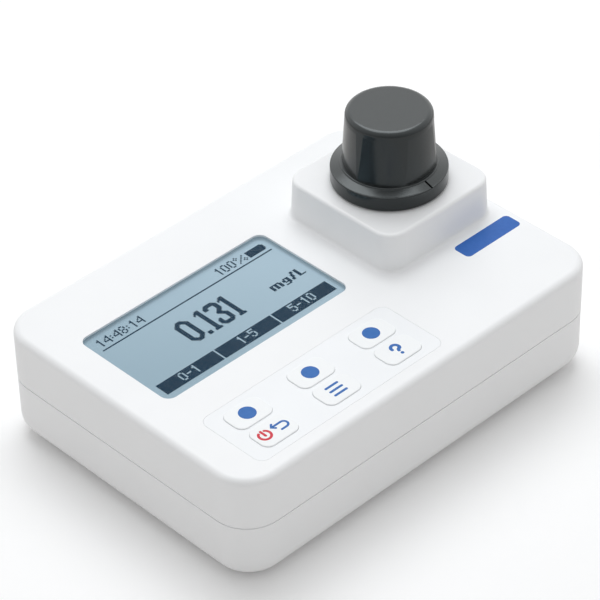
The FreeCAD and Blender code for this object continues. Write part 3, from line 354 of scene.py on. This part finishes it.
def key_white():
    """Soft-touch key plastic."""
    finish = Finish("key_white", (243, 245, 246), roughness=0.45)
    finish.vary_roughness(grain=3.0, low=0.42, high=0.5)
    return finish.grain(size=0.5, depth=0.008, strength=0.4).material


def display_grey():
    """Display background: blue-grey with painted light that makes it lighter towards the back right
    corner, towards the lamp, and a faint glow that stands for the backlight and also lifts the shade
    under the window's edge.
    """
    finish = Finish("display_grey", (151, 169, 179), roughness=0.5)
    finish.set("Specular IOR Level", 0.0)
    split = finish.nodes.new("ShaderNodeSeparateXYZ")
    finish.links.new(finish.place, split.inputs["Vector"])
    low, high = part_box("lcd_glass")
    across = finish.nodes.new("ShaderNodeMapRange")
    across.inputs["From Min"].default_value = low[0] + low[1]
    across.inputs["From Max"].default_value = high[0] + high[1]
    total = finish.nodes.new("ShaderNodeMath")
    finish.links.new(split.outputs["X"], total.inputs[0])
    finish.links.new(split.outputs["Y"], total.inputs[1])
    finish.links.new(total.outputs["Value"], across.inputs["Value"])
    # painted light: the colour runs lighter towards the back right corner, where the lamp stands
    colour = finish.ramp(across.outputs["Result"], finish.rgb, (166, 183, 193), ends=(0.2, 0.8))
    finish.join(colour, "Base Color")
    # painted light: the glow stands partly for the backlight and partly lifts the shade that the
    # window's edge casts on the display
    finish.join(colour, "Emission Color")
    finish.set("Emission Strength", 0.3)
    return finish.grain(size=DOT_PITCH, depth=0.003, strength=0.3).material


def display_dark():
    """Dark dots of the display."""
    finish = Finish("display_dark", (46, 67, 85), roughness=0.5)
    finish.set("Specular IOR Level", 0.0)
    return finish.vary_colour(grain=4.0, change=3.0).material


def ink(name, rgb):
    """Printed ink with a slightly uneven film."""
    finish = Finish(name, rgb, roughness=0.45)
    finish.set("Specular IOR Level", 0.2)
    finish.vary_colour(grain=1.5, change=2.0)
    return finish.grain(size=0.3, depth=0.004, strength=0.4).material


def cap_black():
    """Polished black cap with a very fine grain."""
    finish = Finish("cap_black", (25, 28, 29), roughness=0.2)
    finish.set("Specular Tint", (0.93, 1.0, 1.01, 1.0))
    finish.vary_roughness(grain=2.5, low=0.18, high=0.22)
    finish.soften(radius=0.12)
    return finish.grain(size=0.5, depth=0.004, strength=0.2).material


def soft_black():
    """Rubber: dull, with a faint bloom."""
    finish = Finish("soft_black", (38, 38, 40), roughness=0.75)
    finish.vary_colour(grain=3.0, change=4.0)
    return finish.grain(size=0.4, depth=0.03, strength=0.7).material


def soft_grey():
    """Silicone of the key domes and the case seal."""
    finish = Finish("soft_grey", (150, 152, 156), roughness=0.6)
    finish.vary_colour(grain=4.0, change=4.0)
    return finish.grain(size=0.5, depth=0.02, strength=0.5).material


def inner_black():
    """Dull black plastic of the well and the light path."""
    finish = Finish("inner_black", (28, 28, 30), roughness=0.6)
    finish.vary_roughness(grain=3.0, low=0.5, high=0.7)
    return finish.grain(size=0.3, depth=0.02, strength=0.7).material


def stopper_white():
    """Waxy white stopper plastic."""
    finish = Finish("stopper_white", (232, 233, 230), roughness=0.4)
    finish.set("Subsurface Weight", 0.1)
    finish.set("Subsurface Radius", (2 * MM, 2 * MM, 2 * MM))
    finish.vary_colour(grain=5.0, change=2.0)
    return finish.grain(size=0.6, depth=0.008, strength=0.5).material


def glass(name, rgb, ior):
    """Solid clear glass with faint ripples."""
    finish = Finish(name, rgb, roughness=0.02)
    finish.set("Transmission Weight", 1.0)
    finish.set("IOR", ior)
    return finish.grain(size=9.0, depth=0.004, strength=0.15).material


def board_green():
    """Circuit board: solder mask with the faint relief of its tracks."""
    finish = Finish("board_green", (22, 88, 55), roughness=0.35)
    brick = finish.nodes.new("ShaderNodeTexBrick")
    brick.inputs["Scale"].default_value = 1 / (9.0 * MM)
    brick.inputs["Mortar Size"].default_value = 0.03
    finish.links.new(finish.place, brick.inputs["Vector"])
    colour = finish.ramp(brick.outputs["Fac"], finish.rgb, (44, 122, 78), ends=(0.1, 0.9))
    finish.join(colour, "Base Color")
    return finish.bump(brick.outputs["Fac"], depth=0.03, strength=0.6).material


def dull(name, rgb, roughness):
    """Plain moulded or cast surface with a fine grain."""
    finish = Finish(name, rgb, roughness)
    finish.vary_colour(grain=3.0, change=3.0)
    return finish.grain(size=0.3, depth=0.01, strength=0.6).material


def metal(name, rgb, roughness, stretch):
    """Metal with brushing along one direction."""
    finish = Finish(name, rgb, roughness, metallic=1.0)
    finish.vary_roughness(grain=0.8, low=roughness - 0.05, high=roughness + 0.1)
    return finish.grain(size=0.25, depth=0.006, strength=0.5, stretch=stretch).material


def cell_wrap():
    """Shrink film round a cell, dark with a band of another grey at its positive end."""
    finish = Finish("cell_wrap", (70, 74, 80), roughness=0.3)
    split = finish.nodes.new("ShaderNodeSeparateXYZ")
    finish.links.new(finish.place, split.inputs["Vector"])
    low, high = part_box("battery_cell_1")
    along = finish.nodes.new("ShaderNodeMapRange")
    along.inputs["From Min"].default_value = low[0]
    along.inputs["From Max"].default_value = high[0]
    finish.links.new(split.outputs["X"], along.inputs["Value"])
    colour = finish.ramp(along.outputs["Result"], (176, 178, 182), finish.rgb, ends=(0.27, 0.28))
    finish.join(colour, "Base Color")
    return finish.grain(size=1.2, depth=0.01, strength=0.5).material


def make_materials():
    """One material for each slot of the record."""
    return {
        "case_white": case_white(),
        "panel_white": panel_white(),
        "key_white": key_white(),
        "window_clear": see_through("window_clear", (250, 252, 253), mirror=0.001, haze=0.03),
        "display_grey": display_grey(),
        "light_panel": dull("light_panel", (235, 240, 240), roughness=0.5),
        "frame_white": dull("frame_white", (225, 227, 228), roughness=0.5),
        "soft_black": soft_black(),
        "soft_grey": soft_grey(),
        "cap_black": cap_black(),
        "inner_black": inner_black(),
        "stopper_white": stopper_white(),
        "cuvette_glass": glass("cuvette_glass", (250, 253, 252), ior=1.47),
        "optic_glass": glass("optic_glass", (246, 250, 250), ior=1.52),
        "filter_glass": glass("filter_glass", (196, 120, 60), ior=1.52),
        "board_green": board_green(),
        "chip_black": dull("chip_black", (30, 31, 33), roughness=0.5),
        "detector_can": metal("detector_can", (190, 188, 180), 0.3, stretch=(1.0, 1.0, 8.0)),
        "lamp_clear": glass("lamp_clear", (245, 240, 225), ior=1.5),
        "contact_nickel": metal("contact_nickel", (200, 196, 188), 0.28, stretch=(8.0, 1.0, 1.0)),
        "screw_steel": metal("screw_steel", (150, 150, 152), 0.32, stretch=(1.0, 1.0, 6.0)),
        "cell_wrap": cell_wrap(),
    }


def dress_nodes(materials):
    """Gives every CAD node the material of its slot."""
    slots = {}
    for part in frame["record"]["subparts"]:
        slots[part["node"]] = part["material_slot"]
    for name, obj in frame["nodes"].items():
        obj.data.materials.clear()
        obj.data.materials.append(materials[slots[name]])


# Dot display

def small_text(text, column, row, bold=False):
    """Dots of a line of small figures, and the column that the next one would start in."""
    dots = set()
    for letter in text:
        rows = SMALL_FIGURES[letter]
        for down, line in enumerate(rows):
            for across, mark in enumerate(line):
                if mark == "#":
                    dots.add((column + across, row + down))
                    if bold:
                        dots.add((column + across + 1, row + down))
        column += len(rows[0]) + (2 if bold else 1)
    return dots, column


def bar(column, row, width, height):
    """Dots of a filled block."""
    return {(column + i, row + j) for i in range(width) for j in range(height)}


def reading_dots():
    """Dots of the large reading."""
    dots = set()
    column = READING_COLUMN
    for figure in READING:
        row = READING_ROW
        for times, line in LARGE_FIGURES[figure]:
            for across, mark in enumerate(line):
                if mark == "#":
                    dots |= bar(column + across, row, 1, times)
            row += times
        column += len(line) + 1
    return dots


def battery_dots():
    """Dots of the full battery sign with its tip."""
    top = HEADER_TOP + 1
    body = bar(BATTERY_COLUMN, top, BATTERY_LENGTH - 1, BATTERY_HEIGHT)
    tip = bar(BATTERY_COLUMN + BATTERY_LENGTH - 1, top + 1, 1, BATTERY_HEIGHT - 2)
    return body | tip


def softkey_dots():
    """Dots of the dark softkey fields, with plain numbers left light."""
    dots = set()
    width = (DOT_COLUMNS + 1) // len(SOFTKEYS)
    top = DOT_ROWS - SOFTKEY_ROWS
    for index, text in enumerate(SOFTKEYS):
        column = index * width
        dots |= bar(column, top, width - 1, SOFTKEY_ROWS)
        letters, end = small_text(text, 0, top + 1)
        shift = column + (width - 1 - end) // 2
        dots -= {(shift + i, j) for i, j in letters}
    return dots


def display_dots():
    """Every dark dot of the display."""
    dots = small_text(CLOCK, CLOCK_COLUMN, HEADER_TOP)[0]
    dots |= small_text(PERCENT, PERCENT_COLUMN, HEADER_TOP)[0]
    dots |= small_text(UNIT, UNIT_COLUMN, UNIT_ROW, bold=True)[0]
    dots |= bar(0, HEADER_LINE_ROW, DOT_COLUMNS, 1)
    return dots | battery_dots() | reading_dots() | softkey_dots()


def make_display_dots(material):
    """Flat dots on the display's glass."""
    low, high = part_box("lcd_glass")
    left = low[0] + DOTS_FROM_LEFT * MM
    back = low[1] + (DOTS_FROM_FRONT + DOT_ROWS * DOT_PITCH) * MM
    z = high[2] + DOTS_OVER_GLASS * MM
    pitch = DOT_PITCH * MM
    side = DOT_SIDE * MM
    vertices = []
    faces = []
    for column, row in sorted(display_dots()):
        x = left + column * pitch
        y = back - (row + 1) * pitch
        first = len(vertices)
        vertices += [(x, y, z), (x + side, y, z), (x + side, y + side, z), (x, y + side, z)]
        faces.append((first, first + 1, first + 2, first + 3))
    mesh_piece("display_dots", vertices, faces, material, "case")


# Printing

def band_faces(count):
    """Faces between two rings of corners, the second listed after the first."""
    faces = []
    for index in range(count):
        after = (index + 1) % count
        faces.append((index, after, count + after, count + index))
    return faces


def plate(name, points, z, material, body):
    """Thin printed film from its outline, points in metres."""
    top = z + PRINT_THICK * MM
    count = len(points)
    vertices = [(x, y, z) for x, y in points] + [(x, y, top) for x, y in points]
    faces = [tuple(reversed(range(count))), tuple(range(count, 2 * count))] + band_faces(count)
    mesh_piece(name, vertices, faces, material, body)


def arc_points(centre, radius, start, end, steps):
    """Points along an arc, angles in degrees."""
    points = []
    for index in range(steps + 1):
        angle = math.radians(start + (end - start) * index / steps)
        points.append((centre[0] + radius * math.cos(angle), centre[1] + radius * math.sin(angle)))
    return points


def circle_points(centre, radius, steps):
    """Points round a full circle."""
    return arc_points(centre, radius, 0, 360, steps)[:-1]


def stroke_outline(line, width):
    """Outline of a stroke with round ends along a line of points."""
    half = width / 2
    left = []
    right = []
    angles = []
    for index, (x, y) in enumerate(line):
        before = line[max(index - 1, 0)]
        after = line[min(index + 1, len(line) - 1)]
        angle = math.atan2(after[1] - before[1], after[0] - before[0])
        angles.append(angle)
        left.append((x - half * math.sin(angle), y + half * math.cos(angle)))
        right.append((x + half * math.sin(angle), y - half * math.cos(angle)))
    end = math.degrees(angles[-1])
    start = math.degrees(angles[0])
    far_cap = arc_points(line[-1], half, end - 90, end + 90, END_STEPS)[1:-1]
    near_cap = arc_points(line[0], half, start + 90, start + 270, END_STEPS)[1:-1]
    return right + far_cap + left[::-1] + near_cap


def key_point(name, x, y):
    """Point on a key, in metres, from a place in millimetres beside the print's middle."""
    low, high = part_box(name)
    middle_x = (low[0] + high[0]) / 2 + PRINT_SHIFT[0] * MM
    middle_y = (low[1] + high[1]) / 2 + PRINT_SHIFT[1] * MM
    return middle_x + x * MM, middle_y + y * MM


def key_print(key, name, outline, material):
    """One printed mark on a key's top, from an outline in millimetres."""
    points = [key_point(key, x, y) for x, y in outline]
    plate(name, points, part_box(key)[1][2], material, key)


def make_key_prints(blue, red):
    """Dots on the upper keys, and the signs on the lower ones."""
    for key in ("key_left", "key_middle", "key_right"):
        key_print(key, key + "_dot", circle_points((0, 0), KEY_DOT_RADIUS, DOT_STEPS), blue)
    half = POWER_OPENING / 2
    ring = arc_points((POWER_OFFSET, 0), POWER_RADIUS, 90 + half, 450 - half, RING_STEPS)
    key_print("key_power", "power_ring", stroke_outline(ring, STROKE), red)
    stem = [(POWER_OFFSET, POWER_BAR[0]), (POWER_OFFSET, POWER_BAR[1])]
    key_print("key_power", "power_bar", stroke_outline(stem, STROKE), red)
    make_return_arrow(blue)
    for index in (-1, 0, 1):
        y = index * MENU_PITCH
        line = [(-MENU_LENGTH / 2, y), (MENU_LENGTH / 2, y)]
        key_print("key_menu", "menu_line_%d" % (index + 2), stroke_outline(line, STROKE), blue)
    hook = arc_points((0, QUERY_RISE), QUERY_RADIUS, *QUERY_ARC, HOOK_STEPS) + list(QUERY_STEM)
    key_print("key_help", "query_hook", stroke_outline(hook, QUERY_STROKE), blue)
    point = circle_points((0, QUERY_POINT), QUERY_POINT_RADIUS, POINT_STEPS)
    key_print("key_help", "query_point", point, blue)


def make_return_arrow(blue):
    """Arrow that turns back to the left."""
    middle = (ARROW_RIGHT - ARROW_TURN, ARROW_TOP - ARROW_TURN)
    turn = arc_points(middle, ARROW_TURN, 90, -90, TURN_STEPS)
    tip = ARROW_LEFT + STROKE / 2
    line = [(tip + STROKE, ARROW_TOP)] + turn + [(ARROW_TAIL, ARROW_TOP - 2 * ARROW_TURN)]
    head = [
        (tip + ARROW_HEAD, ARROW_TOP + ARROW_HEAD),
        (tip, ARROW_TOP),
        (tip + ARROW_HEAD, ARROW_TOP - ARROW_HEAD),
    ]
    key_print("key_power", "return_line", stroke_outline(line, ARROW_STROKE), blue)
    key_print("key_power", "return_head", stroke_outline(head, ARROW_STROKE), blue)


def make_label(material):
    """Bare blue field in front of the cuvette's turret, on the roof that the panel is flush with."""
    low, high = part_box("cuvette_well")
    x = (low[0] + high[0]) / 2 + LABEL_CENTRE_FROM_TURRET[0] * MM
    y = (low[1] + high[1]) / 2 + LABEL_CENTRE_FROM_TURRET[1] * MM
    half_x = (LABEL_SIZE[0] / 2 - LABEL_CORNER) * MM
    half_y = (LABEL_SIZE[1] / 2 - LABEL_CORNER) * MM
    points = []
    for sx, sy, start in ((1, -1, -90), (1, 1, 0), (-1, 1, 90), (-1, -1, 180)):
        centre = (x + sx * half_x, y + sy * half_y)
        points += arc_points(centre, LABEL_CORNER * MM, start, start + 90, END_STEPS)
    plate("label_field", points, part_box("keypad_panel")[1][2], material, "case")


def make_fill_mark(material):
    """White fill line round the cuvette."""
    low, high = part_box("cuvette")
    centre = ((low[0] + high[0]) / 2, (low[1] + high[1]) / 2)
    radius = (high[0] - low[0]) / 2 + PRINT_THICK * MM
    z1 = high[2] - MARK_FROM_TOP * MM
    z0 = z1 - MARK_HEIGHT * MM
    circle = circle_points(centre, radius, MARK_STEPS)
    vertices = [(x, y, z0) for x, y in circle] + [(x, y, z1) for x, y in circle]
    mesh_piece("fill_mark", vertices, band_faces(MARK_STEPS), material, "cuvette")


# Studio

def make_camera():
    """Camera at the photograph's place."""
    yaw = math.radians(CAMERA_YAW)
    pitch = math.radians(CAMERA_PITCH)
    roll = math.radians(CAMERA_ROLL)
    ahead = Vector((math.sin(yaw) * math.cos(pitch), math.cos(yaw) * math.cos(pitch), -math.sin(pitch)))
    right = Vector((math.cos(yaw), -math.sin(yaw), 0.0))
    up = right.cross(ahead)
    side = right * math.cos(roll) + up * math.sin(roll)
    head = up * math.cos(roll) - right * math.sin(roll)
    data = bpy.data.cameras.new("camera")
    data.sensor_width = SENSOR_WIDTH
    data.lens = FOCAL_LENGTH
    data.clip_start = CAMERA_NEAR * MM
    camera = bpy.data.objects.new("camera", data)
    place = Vector(CAMERA_TARGET) * MM - ahead * CAMERA_DISTANCE * MM
    turn = Matrix((side, head, -ahead)).transposed().to_4x4()
    camera.matrix_world = Matrix.Translation(place) @ turn
    bpy.context.scene.collection.objects.link(camera)
    bpy.context.scene.camera = camera


def make_lamp():
    """Large soft lamp above and a little behind the object.

    At its whole level, white that faces it would read as white by the lamp alone.
    """
    place = Vector(LAMP_PLACE) * MM
    whole_level = math.pi ** 2 * place.length_squared
    data = bpy.data.lights.new("soft_lamp", "AREA")
    data.shape = "SQUARE"
    data.size = LAMP_SIDE * MM
    data.color = LAMP_COLOUR
    data.energy = whole_level * LAMP_SHARE
    lamp = bpy.data.objects.new("soft_lamp", data)
    lamp.location = place
    lamp.rotation_euler = place.to_track_quat("Z", "Y").to_euler()
    bpy.context.scene.collection.objects.link(lamp)


def seen_rays(nodes, links):
    """Light Path answer that is 1 for rays that show the background, straight or through glass."""
    path = nodes.new("ShaderNodeLightPath")
    seen = nodes.new("ShaderNodeMath")
    seen.operation = "MAXIMUM"
    links.new(path.outputs["Is Camera Ray"], seen.inputs[0])
    links.new(path.outputs["Is Transmission Ray"], seen.inputs[1])
    return seen.outputs["Value"]


def background(nodes, strength):
    """Plain white background of a strength."""
    shader = nodes.new("ShaderNodeBackground")
    shader.inputs["Color"].default_value = (1.0, 1.0, 1.0, 1.0)
    shader.inputs["Strength"].default_value = strength
    return shader


def reflected_room(nodes, links):
    """Background of the reflections, brighter behind the object than in front of it."""
    place = nodes.new("ShaderNodeTexCoord")
    towards = nodes.new("ShaderNodeVectorMath")
    towards.operation = "DOT_PRODUCT"
    towards.inputs[1].default_value = BACK_SIDE
    links.new(place.outputs["Generated"], towards.inputs[0])
    level = nodes.new("ShaderNodeMapRange")
    level.inputs["From Min"].default_value = FRONT_END
    level.inputs["From Max"].default_value = BACK_END
    level.inputs["To Min"].default_value = FRONT_LEVEL
    level.inputs["To Max"].default_value = BACK_LEVEL
    links.new(towards.outputs["Value"], level.inputs["Value"])
    shader = background(nodes, 1.0)
    links.new(level.outputs["Result"], shader.inputs["Strength"])
    return shader


def make_world():
    """White to look at, an even dimmer room light, and a room of its own in reflections."""
    world = bpy.data.worlds.new("room")
    world.use_nodes = True
    nodes = world.node_tree.nodes
    links = world.node_tree.links
    nodes.clear()
    path = nodes.new("ShaderNodeLightPath")
    lit = nodes.new("ShaderNodeMixShader")
    links.new(path.outputs["Is Glossy Ray"], lit.inputs["Fac"])
    links.new(background(nodes, ROOM_SHARE).outputs["Background"], lit.inputs[1])
    links.new(reflected_room(nodes, links).outputs["Background"], lit.inputs[2])
    mix = nodes.new("ShaderNodeMixShader")
    links.new(seen_rays(nodes, links), mix.inputs["Fac"])
    links.new(lit.outputs["Shader"], mix.inputs[1])
    links.new(background(nodes, 1.0).outputs["Background"], mix.inputs[2])
    output = nodes.new("ShaderNodeOutputWorld")
    links.new(mix.outputs["Shader"], output.inputs["Surface"])
    bpy.context.scene.world = world


def floor_material():
    """Pale floor that keeps the object's shadow and reads as white where it is lit."""
    finish = Finish("floor", (243, 241, 239), roughness=0.9)
    nodes = finish.nodes
    links = finish.links
    finish.grain(size=2.0, depth=0.01, strength=0.2)
    seen = nodes.new("ShaderNodeBsdfDiffuse")
    seen.inputs["Color"].default_value = (FLOOR_LEVEL, FLOOR_LEVEL, FLOOR_LEVEL, 1.0)
    mix = nodes.new("ShaderNodeMixShader")
    links.new(seen_rays(nodes, links), mix.inputs["Fac"])
    links.new(finish.shader.outputs["BSDF"], mix.inputs[1])
    links.new(seen.outputs["BSDF"], mix.inputs[2])
    links.new(mix.outputs["Shader"], nodes["Material Output"].inputs["Surface"])
    return finish.material


def make_floor():
    """Plain pale floor under the feet."""
    mesh = bpy.data.meshes.new("floor")
    build = bmesh.new()
    bmesh.ops.create_grid(build, x_segments=1, y_segments=1, size=FLOOR_SIDE * MM / 2)
    build.to_mesh(mesh)
    build.free()
    mesh.materials.append(floor_material())
    floor = bpy.data.objects.new("floor", mesh)
    bpy.context.scene.collection.objects.link(floor)


def main():
    """Builds the whole scene."""
    bpy.context.scene.view_settings.view_transform = "Standard"
    materials = make_materials()
    dress_nodes(materials)
    blue = ink("ink_blue", (51, 107, 178))
    red = ink("ink_red", (208, 58, 72))
    make_display_dots(display_dark())
    make_key_prints(blue, red)
    make_label(ink("label_blue", (44, 98, 176)))
    make_fill_mark(ink("mark_white", (235, 235, 235)))
    make_camera()
    make_lamp()
    make_world()
    make_floor()


main()
